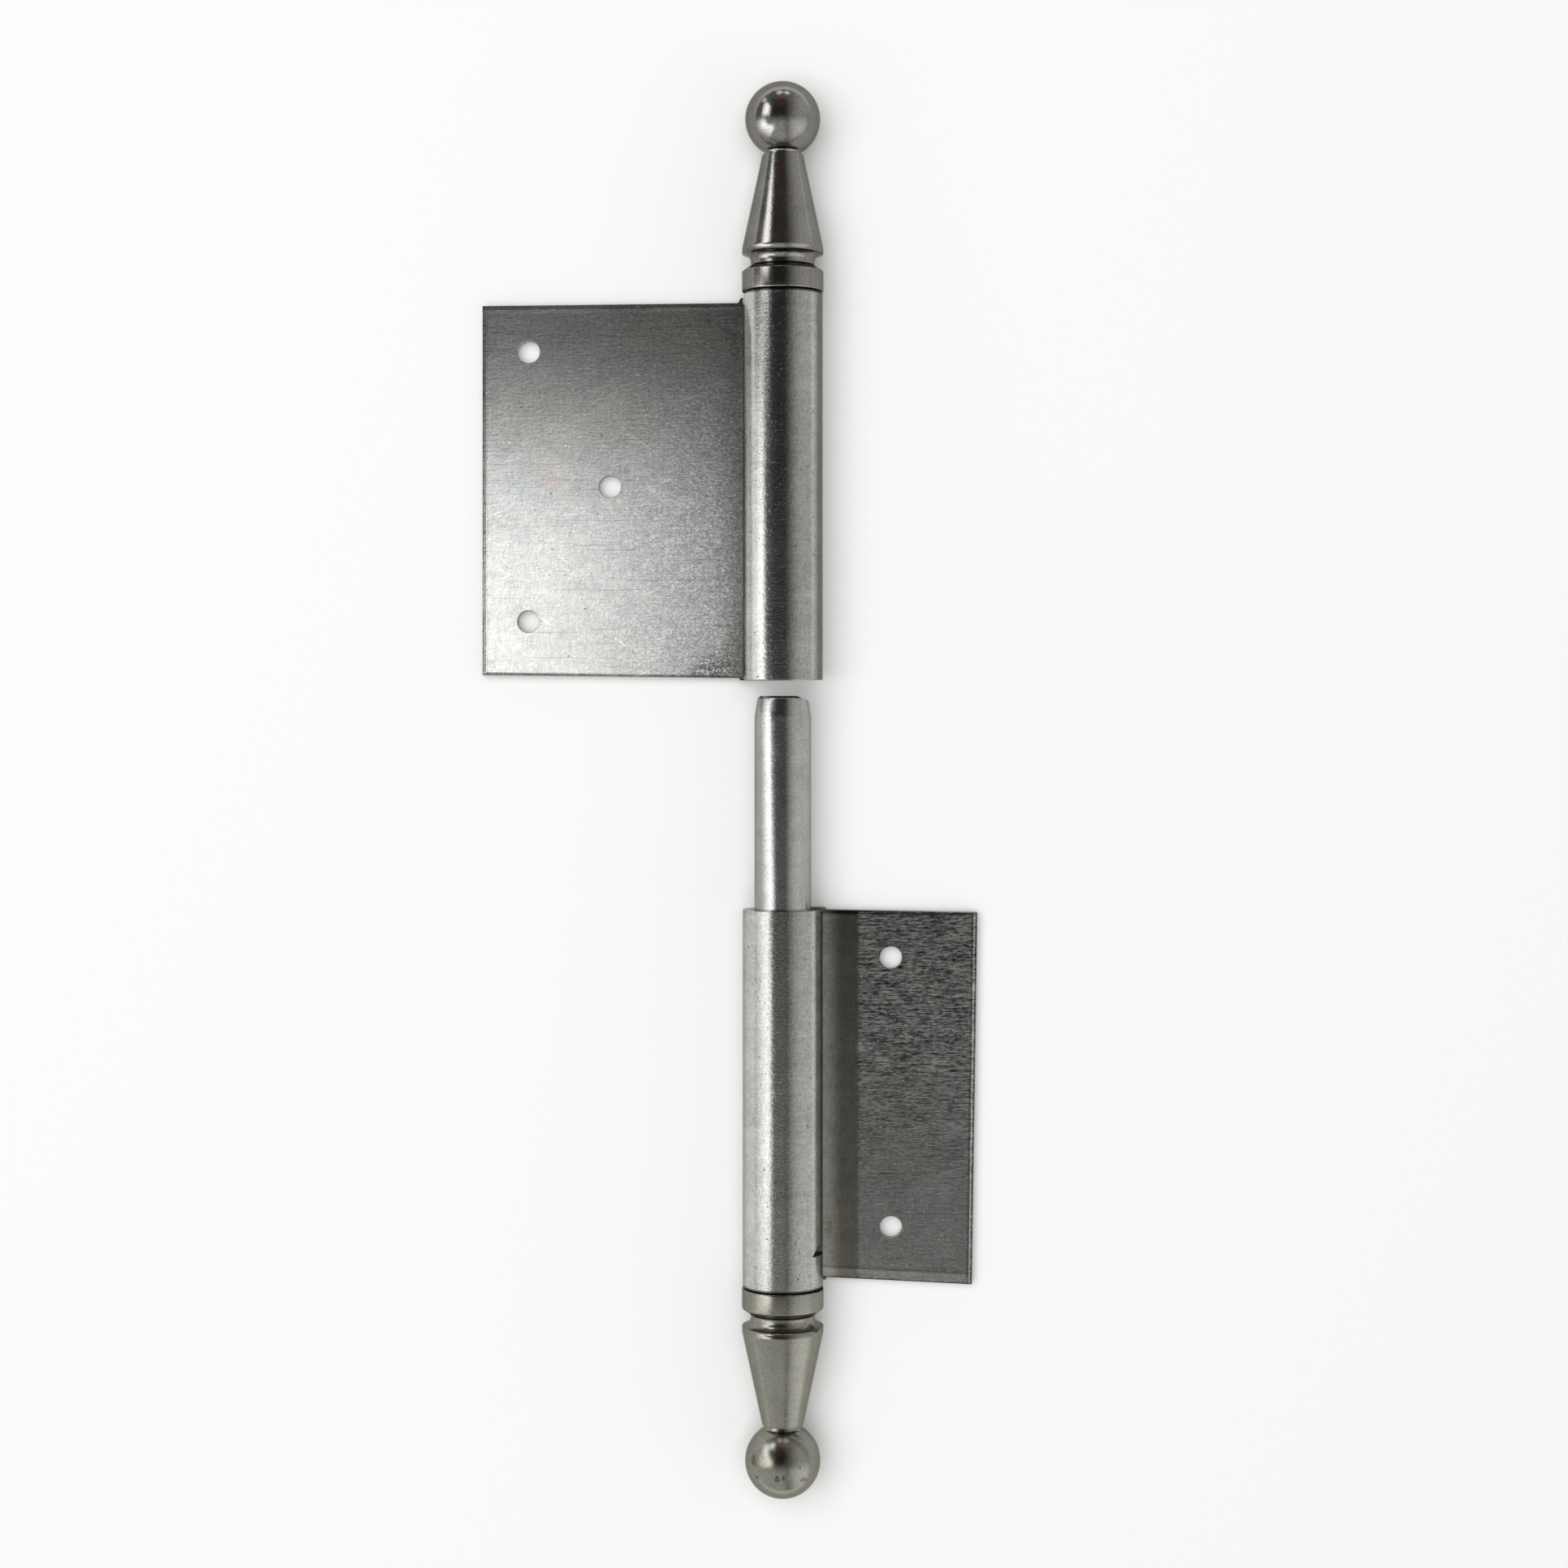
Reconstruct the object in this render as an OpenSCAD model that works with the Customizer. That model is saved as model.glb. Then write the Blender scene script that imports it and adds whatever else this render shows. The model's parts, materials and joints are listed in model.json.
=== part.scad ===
// Lift-off mortise hinge: two leaves with rolled knuckles, a pin and two turned ball finials.
// Each half is drawn upright. Z runs along the pin axis, X to the right of the view, Y to the back,
// and Z = 0 is the upper end of the frame knuckle. lay_down() then lays the hinge on its back.

/* [Rolled sheet] */
// Thickness of the sheet that both leaves are made of
sheet_t = 2.3; // [1.5:0.1:3]
// Slit between the roll's lip and the front face of the leaf
seam_gap = 0.45; // [0.2:0.05:1]
// Lean of the lip's sheared face away from a radius, in degrees
lip_slant = 20; // [0:5:30]
// Flat width beside the roll that keeps the knuckle's full length
step_out = 0.5; // [0.2:0.1:3]
// Width of the slope from the knuckle's end down to the leaf's edge
step_ramp = 0.5; // [0.2:0.1:2]
// Distance from each knuckle's inner end to the edge of its leaf
leaf_inset = 0.5; // [0.1:0.1:2]

/* [Pin] */
// Diameter of the pin
pin_d = 11.3; // [8:0.1:14]
// Length of pin that stands out of the frame knuckle
pin_out_l = 42.5; // [25:0.5:60]
// Empty stretch inside the frame knuckle between the pin and the finial's spigot
core_gap = 2; // [0.5:0.5:20]
// Diameter of the flat end of the pin's tip
tip_d = 9.2; // [6:0.1:9.6]
// Length of the tapered lead
lead_l = 4.2; // [2:0.1:8]
// How much the lead narrows the pin, on the diameter
lead_drop = 1.2; // [0.4:0.1:1.6]
// Length of the slope that blends the lead into the flat end
tip_break_l = 0.5; // [0.2:0.1:1]
// Slope of the one-sided bevel on the tip, in degrees
bevel_slope = 22; // [10:1:40]
// Depth of that bevel at the lead's edge
bevel_depth = 0.9; // [0.3:0.1:1.5]
// Running clearance between the pin and a knuckle, on the radius
run_gap = 0.05; // [0.01:0.01:0.1]

/* [Frame leaf] */
// Length of the frame knuckle
frame_knuckle_l = 75; // [60:1:110]
// Reach of the leaf from the pin axis at its inner corner
frame_leaf_w = 39.2; // [28:0.1:60]
// How much shorter that reach is at the finial's end
frame_reach_loss = 1.1; // [0:0.1:3]
// Height of the leaf beside the knuckle
frame_leaf_h = 74; // [59:0.5:74.4]
// How far the outer edge's inner corner is sheared towards the finial
frame_inner_skew = 0.6; // [0:0.1:2]
// How far the outer edge's other corner is sheared towards the finial
frame_outer_skew = 1.5; // [0:0.1:3]
// Distance from the pin axis to the fixing holes
frame_hole_x = 21.8; // [14:0.1:24]
// Distance from the knuckle's inner end to the middle of the hole pair
frame_hole_mid = 37.3; // [34:0.1:40]

/* [Door leaf] */
// Length of the door knuckle
door_knuckle_l = 77; // [65:1:110]
// Reach of the leaf from the pin axis
door_leaf_w = 60.5; // [50:0.5:90]
// Height of the leaf beside the knuckle
door_leaf_h = 75.5; // [60:0.5:76]
// How far both outer corners are sheared inwards
door_corner_trim = 0.6; // [0:0.1:2]
// Distance from the leaf's outer edge to the outer pair of holes
door_pair_edge = 9.3; // [5:0.1:14]
// Distance from the leaf's outer edge to the single middle hole
door_single_edge = 25.7; // [18:0.1:34]
// Distance from the knuckle's inner end to the middle of the holes
door_hole_mid = 39; // [36:0.1:40]

/* [Holes] */
// Diameter of every fixing hole
hole_d = 4.5; // [3:0.1:6]
// Distance between the two holes of a pair
hole_spacing = 54.3; // [40:0.1:58]

/* [Lip corners and stake mark] */
// Height of the corner cut off the door knuckle's lip beside the finial
door_clip_h = 5.4; // [0.5:0.1:10]
// Height of the corner cut off each lip at the inner end
inner_clip_h = 1.6; // [0.3:0.1:4]
// Reach of those cuts round the roll, measured forwards from the leaf
clip_reach = 8.7; // [4:0.1:11]
// Distance from the finial's end of the frame knuckle to the stake mark's step
stake_up = 6.6; // [4:0.1:12]
// Height of the stake mark's sloping facet
stake_h = 2.4; // [1:0.1:4]
// Depth of the stake mark at its step
stake_depth = 0.75; // [0.3:0.05:1.2]
// Place of the stake mark round the roll, in degrees from straight in front
stake_turn = 72; // [40:1:80]

/* [Finials] */
// Radius of the ring that covers the knuckle's end
ring_r = 8.15; // [8.1:0.05:9]
// Height of the ring
ring_h = 4; // [2:0.1:6]
// Small chamfer on the edges of the ring and of the cone's foot
edge_break = 0.3; // [0.1:0.05:0.6]
// Narrow gap between the ring and the end of the knuckle
ring_gap = 0.3; // [0.1:0.05:0.5]
// Radius of the floor of the groove above the ring
groove_r = 6.4; // [5:0.1:7]
// Height of the slope from the ring down to the groove's floor
groove_slope_h = 1.3; // [0.5:0.1:2]
// Width of the groove's flat floor
groove_floor_w = 0.6; // [0.2:0.1:1.5]
// Radius of the cone's foot
foot_r = 8.1; // [7.5:0.05:9]
// Height of the straight band round the cone's foot
foot_band_h = 1.2; // [0.7:0.1:2.5]
// Height of the cone
cone_h = 18.5; // [10:0.5:30]
// Radius of the cone's small end
cone_top_r = 4.1; // [3:0.1:5]
// Radius of the neck under the ball
neck_r = 3.6; // [2.5:0.1:4]
// Height of the neck up to the ball
neck_h = 0.6; // [0.3:0.1:2]
// Radius of the ball
ball_r = 7.5; // [6:0.1:10]
// Length of the frame finial's spigot inside its knuckle
frame_spigot_l = 15; // [10:0.5:30]
// Chamfer on the end of each spigot and on the held end of the pin
spigot_break = 0.6; // [0.2:0.1:1.5]

/* [Positions] */
// Gap between the two knuckles when the door half is seated
knuckle_gap = 0.3; // [0.1:0.05:1]
// Gap between the pin's tip and the door spigot when the door half is seated
tip_gap = 0.05; // [0.02:0.01:0.2]
// Gap between the pin's tip and the door knuckle as the two halves lie apart
apart_gap = 3.2; // [1:0.1:20]

/* [Hidden] */
$fn = 96;
pin_r = pin_d / 2;
bore_r = pin_r + run_gap;
roll_r = bore_r + sheet_t;
leaf_front_y = roll_r - sheet_t;
step_x = roll_r + step_out;
lip_turn = asin((leaf_front_y - seam_gap) / roll_r);
hole_r = hole_d / 2;
over = 1;

// The finial's heights, measured outwards from the ring's face
groove_z = ring_h + groove_slope_h;
cove_z = groove_z + groove_floor_w;
cove_r = foot_r - groove_r;
cone_z = cove_z + cove_r + foot_band_h;
cone_top_z = cone_z + cone_h;
neck_z = cone_top_z + neck_h;
ball_z = neck_z + sqrt(pow(ball_r, 2) - pow(neck_r, 2));
finial_l = ball_z + ball_r;

// Where the door half lies along the pin axis
door_z = pin_out_l + apart_gap;
door_spigot_l = door_knuckle_l + knuckle_gap - pin_out_l - tip_gap;
pin_grip_l = frame_knuckle_l - frame_spigot_l - core_gap;
top_z = door_z + door_knuckle_l + ring_gap + finial_l;
foot_z = -(frame_knuckle_l + ring_gap + finial_l);
mid_z = (top_z + foot_z) / 2;
axis_x = (door_leaf_w - frame_leaf_w) / 2;
axis_z = max(ring_r, roll_r);

zinc = [0.66, 0.67, 0.65];
bright_zinc = [0.74, 0.74, 0.71];
warm_zinc = [0.67, 0.66, 0.60];

// Lays an upright half on its back, with the pin axis along Y and the whole hinge centred
module lay_down() {
    translate([axis_x, -mid_z, axis_z])
        rotate([-90, 0, 0])
            children();
}

// In the half's own frame Z grows from the knuckle's inner end to its finial
module as_door_half() {
    lay_down()
        translate([0, 0, door_z])
            mirror([1, 0, 0])
                children();
}

module as_frame_half() {
    lay_down()
        mirror([0, 0, 1])
            children();
}

// Everything between the lip's slanted face and the place where the leaf leaves the roll
module seam_outline() {
    lip = [cos(lip_turn), sin(lip_turn)] * roll_r;
    face = [cos(lip_turn - lip_slant), sin(lip_turn - lip_slant)];
    outside = lip + face * over;
    inside = lip - face * (sheet_t / cos(lip_slant) + over);
    limit = roll_r + over;
    polygon([outside, inside, [0, inside[1]], [0, limit], [limit, limit], [limit, outside[1]]]);
}

// The open roll, seen along the pin axis
module roll_outline() {
    difference() {
        circle(r = roll_r);
        circle(r = bore_r);
        seam_outline();
    }
}

// Cuts the corner of the lip at Z = 0, clear of the leaf behind it
module lip_clip(clip_h) {
    low_y = leaf_front_y - clip_reach;
    rotate([90, 0, 90])
        linear_extrude(roll_r + over)
            polygon([[low_y, 0], [leaf_front_y, clip_h], [leaf_front_y, -over], [low_y, -over]]);
}

// A leaf and its knuckle from one sheet, with its corners and holes listed as [reach, height]
module rolled_leaf(knuckle_l, leaf_h, inner_corner, outer_corner, holes) {
    leaf_top = leaf_inset + leaf_h;
    ramp_x = step_x + step_ramp;
    difference() {
        union() {
            linear_extrude(knuckle_l)
                roll_outline();
            translate([0, roll_r, 0])
                rotate([90, 0, 0])
                    linear_extrude(sheet_t)
                        polygon([
                            [0, 0], [step_x, 0], [ramp_x, leaf_inset], inner_corner,
                            outer_corner, [ramp_x, leaf_top], [step_x, knuckle_l], [0, knuckle_l]
                        ]);
        }
        lip_clip(inner_clip_h);
        for (hole = holes)
            translate([hole[0], roll_r + over, hole[1]])
                rotate([90, 0, 0])
                    cylinder(r = hole_r, h = sheet_t + 2 * over);
    }
}

// A punched facet that ends in a step towards the finial and locks its spigot
module stake_mark() {
    step_z = frame_knuckle_l - stake_up;
    slope = stake_h / stake_depth;
    width = 2 * sqrt(pow(roll_r, 2) - pow(roll_r - stake_depth, 2)) + over;
    rotate([0, 0, stake_turn - 90])
        rotate([90, 0, 0])
            linear_extrude(width, center = true)
                polygon([
                    [roll_r - stake_depth, step_z],
                    [roll_r + over, step_z],
                    [roll_r + over, step_z - stake_h - slope * over]
                ]);
}

module door_leaf() {
    pair_x = door_leaf_w - door_pair_edge;
    single_x = door_leaf_w - door_single_edge;
    low_z = door_hole_mid - hole_spacing / 2;
    high_z = door_hole_mid + hole_spacing / 2;
    color(zinc)
        as_door_half()
            difference() {
                rolled_leaf(
                    door_knuckle_l,
                    door_leaf_h,
                    [door_leaf_w, leaf_inset + door_corner_trim],
                    [door_leaf_w, leaf_inset + door_leaf_h - door_corner_trim],
                    [[pair_x, low_z], [pair_x, high_z], [single_x, door_hole_mid]]
                );
                translate([0, 0, door_knuckle_l])
                    mirror([0, 0, 1])
                        lip_clip(door_clip_h);
            }
}

module frame_leaf() {
    low_z = frame_hole_mid - hole_spacing / 2;
    high_z = frame_hole_mid + hole_spacing / 2;
    color(zinc)
        as_frame_half()
            difference() {
                rolled_leaf(
                    frame_knuckle_l,
                    frame_leaf_h,
                    [frame_leaf_w, leaf_inset + frame_inner_skew],
                    [frame_leaf_w - frame_reach_loss, leaf_inset + frame_leaf_h + frame_outer_skew],
                    [[frame_hole_x, low_z], [frame_hole_x, high_z]]
                );
                stake_mark();
            }
}

module hinge_pin() {
    lead_r = pin_r - lead_drop / 2;
    lead_z = pin_out_l - lead_l;
    break_z = pin_out_l - tip_break_l;
    bevel_x = lead_r - bevel_depth / tan(bevel_slope);
    color(bright_zinc)
        lay_down()
            difference() {
                rotate_extrude()
                    polygon([
                        [0, -pin_grip_l], [pin_r - spigot_break, -pin_grip_l],
                        [pin_r, -pin_grip_l + spigot_break], [pin_r, lead_z],
                        [lead_r, break_z], [tip_d / 2, pin_out_l], [0, pin_out_l]
                    ]);
                translate([bevel_x, 0, pin_out_l])
                    rotate([0, bevel_slope, 0])
                        translate([0, -pin_r, 0])
                            cube([pin_d, pin_d, pin_d]);
            }
}

// One half of the finial's outline, from the end of its spigot to the neck
module turned_outline(spigot_l) {
    difference() {
        polygon([
            [0, -ring_gap - spigot_l], [pin_r - spigot_break, -ring_gap - spigot_l],
            [pin_r, -ring_gap - spigot_l + spigot_break], [pin_r, 0],
            [ring_r - edge_break, 0], [ring_r, edge_break],
            [ring_r, ring_h - edge_break], [ring_r - edge_break, ring_h],
            [groove_r, groove_z], [groove_r, cove_z], [foot_r, cove_z],
            [foot_r, cone_z - edge_break], [foot_r - edge_break, cone_z],
            [cone_top_r, cone_top_z], [neck_r, cone_top_z], [neck_r, neck_z], [0, neck_z]
        ]);
        intersection() {
            translate([foot_r, cove_z])
                circle(r = cove_r);
            translate([0, cove_z])
                square([foot_r + over, cove_r + over]);
        }
    }
}

module finial(spigot_l) {
    rotate_extrude()
        turned_outline(spigot_l);
    translate([0, 0, ball_z])
        sphere(r = ball_r);
}

module upper_finial() {
    color(warm_zinc)
        lay_down()
            translate([0, 0, door_z + door_knuckle_l + ring_gap])
                finial(door_spigot_l);
}

module lower_finial() {
    color(warm_zinc)
        as_frame_half()
            translate([0, 0, frame_knuckle_l + ring_gap])
                finial(frame_spigot_l);
}

door_leaf();
frame_leaf();
hinge_pin();
upper_finial();
lower_finial();
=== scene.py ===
# %% [markdown] # A lift-off mortise hinge This lesson dresses a packed CAD hinge: two leaves of zinc-plated
# sheet, rolled into knuckles, a drawn pin and two turned ball finials. The hinge lies on its back on a pale
# table, and the camera looks straight down. The lesson counts in millimetres, and MM turns them into
# Blender's metres.

# %% Load the hinge
import json
import math

import bmesh
import bpy
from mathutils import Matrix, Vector


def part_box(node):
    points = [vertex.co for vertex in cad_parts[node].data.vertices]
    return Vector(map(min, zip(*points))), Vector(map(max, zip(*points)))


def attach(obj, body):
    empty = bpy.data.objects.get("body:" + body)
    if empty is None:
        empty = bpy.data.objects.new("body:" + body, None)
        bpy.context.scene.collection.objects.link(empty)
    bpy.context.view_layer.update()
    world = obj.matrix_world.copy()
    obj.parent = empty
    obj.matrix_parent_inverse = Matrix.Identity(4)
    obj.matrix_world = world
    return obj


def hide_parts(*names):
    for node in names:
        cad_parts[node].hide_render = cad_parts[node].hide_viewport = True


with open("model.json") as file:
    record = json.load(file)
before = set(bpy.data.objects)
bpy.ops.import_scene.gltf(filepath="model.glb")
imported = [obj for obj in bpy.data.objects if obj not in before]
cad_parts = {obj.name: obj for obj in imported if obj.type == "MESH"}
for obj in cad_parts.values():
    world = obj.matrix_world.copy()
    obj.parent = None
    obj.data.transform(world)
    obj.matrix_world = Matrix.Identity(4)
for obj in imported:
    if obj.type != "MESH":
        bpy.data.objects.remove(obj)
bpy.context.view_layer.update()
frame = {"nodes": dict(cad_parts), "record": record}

MM = 0.001
print("solids:", ", ".join(sorted(frame["nodes"])))

# %% [markdown]
# The pin axis is the line that everything is measured from. It runs along Y, and its place comes from the
# joint that the hinge swings on, so it is read from there and not written again. The roll's radius and the
# sheet's thickness give the height of the leaves' front face.

# %% Find the pin axis
swing = next(joint for joint in frame["record"]["behaviour"]["joints"] if joint["name"] == "swing")
AXIS_X = swing["pos_m"][0] / MM
AXIS_Z = swing["pos_m"][2] / MM
ROLL_R = 8.0
SHEET_T = 2.3
FRONT_Z = AXIS_Z - ROLL_R + SHEET_T
print(f"pin axis at x {AXIS_X:.2f} mm, {AXIS_Z:.2f} mm above the table")

# %% [markdown]
# ## Camera
# The photograph was taken from straight above, a little past half a metre away. One length of lens and one
# small vertical shift give the same perspective: the finials lean outwards from a point just above the
# middle. A camera that isn't turned looks straight down, so it only needs its place.

# %% Place the camera
CAMERA_AT = (10.9, 15.6, 563)
SENSOR_W = 36.0
LENS_L = 63.9
SHIFT_UP = -0.0463

camera_data = bpy.data.cameras.new("copy_stand_camera")
camera_data.sensor_width = SENSOR_W
camera_data.lens = LENS_L
camera_data.shift_y = SHIFT_UP
camera = bpy.data.objects.new("copy_stand_camera", camera_data)
camera.location = [value * MM for value in CAMERA_AT]
bpy.context.scene.collection.objects.link(camera)
bpy.context.scene.camera = camera
print(f"camera {CAMERA_AT[2]} mm above the table, lens {LENS_L} mm")

# %% [markdown]
# ## Wiring shaders in Python
# A finish is a network of nodes. Written as calls, even a short formula takes a page, so a Wire wraps one
# output socket and knows arithmetic: a + b, 1 - mask and so on each add a Math node. Its method above() is
# the mask that the whole lesson uses, a smooth rise from one value to another.

# %% Define the wire
class Wire:
    """One output socket that adds Math nodes when it is used in a formula."""

    def __init__(self, tree, socket):
        self.tree = tree
        self.socket = socket

    def math(self, operation, *values, clamp=False):
        node = self.tree.nodes.new("ShaderNodeMath")
        node.operation = operation
        node.use_clamp = clamp
        for slot, value in zip(node.inputs, values):
            plug(self.tree, slot, value)
        return Wire(self.tree, node.outputs[0])

    def __add__(self, other):
        return self.math("ADD", self, other)

    def __sub__(self, other):
        return self.math("SUBTRACT", self, other)

    def __rsub__(self, other):
        return self.math("SUBTRACT", other, self)

    def __mul__(self, other):
        return self.math("MULTIPLY", self, other)

    def __truediv__(self, other):
        return self.math("DIVIDE", self, other)

    def __pow__(self, other):
        return self.math("POWER", self, other)

    def __abs__(self):
        return self.math("ABSOLUTE", self)

    __radd__ = __add__
    __rmul__ = __mul__

    def above(self, low, high):
        """0 below low, 1 above high and a smooth rise between. Swapped limits turn it round."""
        share = self.math("DIVIDE", self - low, high - low, clamp=True)
        return share * share * (3.0 - 2.0 * share)


def plug(tree, slot, value):
    """Links a wire to an input socket, or sets a plain value. A colour of three numbers gets its alpha."""
    if isinstance(value, Wire):
        tree.links.new(value.socket, slot)
    elif isinstance(value, tuple) and len(slot.default_value) > len(value):
        slot.default_value = (*value, 1.0)
    else:
        slot.default_value = value


print("wires can add, subtract, multiply, divide and raise to a power")

# %% [markdown]
# Nodes that aren't arithmetic all come from one method, Network.node, which takes the node's type, its
# settings and its inputs. A Network can be a finish, the sky or a lamp. A Finish is the network of one
# material: it has one principled shader, and it measures in millimetres on the object, so that a feature's
# size in a formula is its size on the hinge.

# %% Define the network and the finish
# A Mix node has sockets for numbers, vectors and colours. These are the places of its colour sockets.
MIX_FIRST, MIX_SECOND, MIX_COLOUR = 6, 7, 2


class Network:
    """A node tree and the one method that adds every node to it."""

    def __init__(self, tree):
        self.tree = tree

    def node(self, kind, settings=None, inputs=None):
        """Adds a node, makes its settings and then fills its inputs."""
        node = self.tree.nodes.new("ShaderNode" + kind)
        for key, value in (settings or {}).items():
            setattr(node, key, value)
        for key, value in (inputs or {}).items():
            plug(self.tree, node.inputs[key], value)
        return node

    def add(self, kind, settings=None, inputs=None, out=0):
        """Adds a node and gives back one of its outputs as a wire."""
        return Wire(self.tree, self.node(kind, settings, inputs).outputs[out])

    def vector(self, x, y, z):
        return self.add("CombineXYZ", inputs={0: x, 1: y, 2: z})

    def blend(self, factor, first, second):
        """Mixes two colours."""
        inputs = {"Factor": factor, MIX_FIRST: first, MIX_SECOND: second}
        return self.add("Mix", {"data_type": "RGBA", "clamp_factor": True}, inputs, out=MIX_COLOUR)

    def scaled(self, vector, share):
        """A colour or a vector times a number."""
        return self.add("VectorMath", {"operation": "SCALE"}, {0: vector, "Scale": share})

    def parts(self, vector):
        """The X, Y and Z of a vector, as three wires."""
        return [self.add("SeparateXYZ", inputs={0: vector}, out=axis) for axis in range(3)]


class Finish(Network):
    """A material with one principled shader, measured in millimetres on the object."""

    def __init__(self, name):
        self.material = bpy.data.materials.new(name)
        self.material.use_nodes = True
        super().__init__(self.material.node_tree)
        self.tree.nodes.clear()
        self.shader = self.node("BsdfPrincipled")
        self.node("OutputMaterial", inputs={"Surface": Wire(self.tree, self.shader.outputs["BSDF"])})

    def place(self):
        """The point on the piece in millimetres, as three wires."""
        return self.parts(self.scaled(self.add("TexCoord", out="Object"), 1.0 / MM))

    def noise(self, where, detail=2.0, roughness=0.5):
        """Cloudy noise from 0 to 1 whose features are about one unit of the vector across."""
        inputs = {"Vector": where, "Scale": 1.0, "Detail": detail, "Roughness": roughness}
        return self.add("TexNoise", {"noise_dimensions": "3D"}, inputs)

    def bump(self, height, depth):
        """Turns a height from 0 to 1 into a surface normal, depth millimetres deep."""
        return self.add("Bump", inputs={"Height": height, "Distance": depth * MM, "Strength": 1.0})

    def feed(self, **sockets):
        """Fills the shader's own sockets: underscores stand for the spaces in their names."""
        for key, value in sockets.items():
            plug(self.tree, self.shader.inputs[key.replace("_", " ")], value)
        return self.material


print("a finish can make", ", ".join(name for name in vars(Finish) if not name.startswith("_")))

# %% [markdown]
# ## Zinc-plated sheet
# Both leaves are cut from rolled sheet, and the plating follows every mark of the mill. A picture wrapped
# round the leaf would smear at the knuckle, so the sheet is unrolled in a formula instead: a point's angle
# round the pin, times the radius, says how far along the sheet it lies. The texture then bends with the
# steel.

# %% Unroll the sheet
ROLL_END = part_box("door_leaf")[1][1] / MM


class Sheet(Finish):
    """A finish on the unrolled sheet. along and y lie in it, depth goes into it, and reach is the distance
    from the pin towards the leaf's outer edge. side is -1 for the leaf on the left."""

    def __init__(self, name, side):
        super().__init__(name)
        self.x, self.y, self.z = self.place()
        out_x = self.x - AXIS_X
        out_z = self.z - AXIS_Z
        radius = (out_x * out_x + out_z * out_z) ** 0.5
        self.on_roll = radius.above(ROLL_R + 0.5, ROLL_R + 0.3)
        self.on_leaf = 1.0 - self.on_roll
        self.arc = self.add("Math", {"operation": "ARCTAN2"}, {0: out_x, 1: out_z}) * ROLL_R
        self.along = self.on_roll * self.arc + self.on_leaf * out_x
        self.depth = self.on_roll * radius + self.on_leaf * self.z
        self.reach = out_x * side
        self.wander = self.spots(0.35, 0.35, 0.35, detail=1.0) * 0.8

    def spots(self, along_share, y_share, depth_share, shift=0.0, detail=2.0, roughness=0.5):
        """Noise on the unrolled sheet, finer where a share is larger."""
        where = self.vector(self.along * along_share, self.y * y_share, self.depth * depth_share + shift)
        return self.noise(where, detail=detail, roughness=roughness)

    def grain(self, length, height, detail=2.0, roughness=0.5, shift=0.0):
        """Noise drawn out along the sheet: each dash is about this long and high, and wanders a little."""
        where = self.vector(
            self.along * (1.0 / length), self.y * (1.0 / height) + self.wander, self.depth * 1.5 + shift,
        )
        return self.noise(where, detail=detail, roughness=roughness)

    def scratches(self):
        """Three families of straight scratches, each in a direction of its own."""
        total = 0.0
        for slope, shift in ((2.3, 3.0), (-0.7, 13.0), (0.35, 29.0)):
            run = (self.along + slope * self.y) * 0.16
            across = (self.y - slope * self.along) * 2.4 + shift
            total = total + self.noise(self.vector(run, across, self.depth), detail=0.0).above(0.79, 0.83)
        return total

    def painted_edge_lines(self, edges, strips, wobble):
        """Darker and paler lines beside the sheared edges: painted shade and painted highlights, beside the
        real slope that the mesh has there. Each strip is (side, near, far, share): where it starts and ends,
        in millimetres from the edge, and how much of the shade it keeps."""
        total = 1.0
        for side, near, far, share in strips:
            point, inward = edges[side]
            away = (self.x - point.x) * inward.x + (self.y - point.y) * inward.y + wobble
            strip = away.above(near - 0.08, near + 0.08) * away.above(far + 0.08, far - 0.08) * self.on_leaf
            total = total * (1.0 - (1.0 - share) * strip)
        return total


print(f"the roll ends {ROLL_END:.2f} mm up the pin axis")

# %% [markdown]
# The mill left short dashes that run from the pin to the outer edge, a fine grain under them, a few long
# scratches, bright specks and tiny dark pits. The dashes, the grain and the pits are real relief, so they
# go into the bump, and colour and roughness follow them. Beside the frame knuckle the bending die has
# pressed the grain flat, up to a ragged line that runs along the leaf. Every leaf has its own dashes,
# wrinkles, edge strips and stains, so these are given for each, and the rest is shared.

# %% Make the sheet finish
DIE_LINE = 15.3
PRESSED_TONE = (0.60, 0.57, 0.49)
SHEET_RELIEF = 0.022


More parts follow.
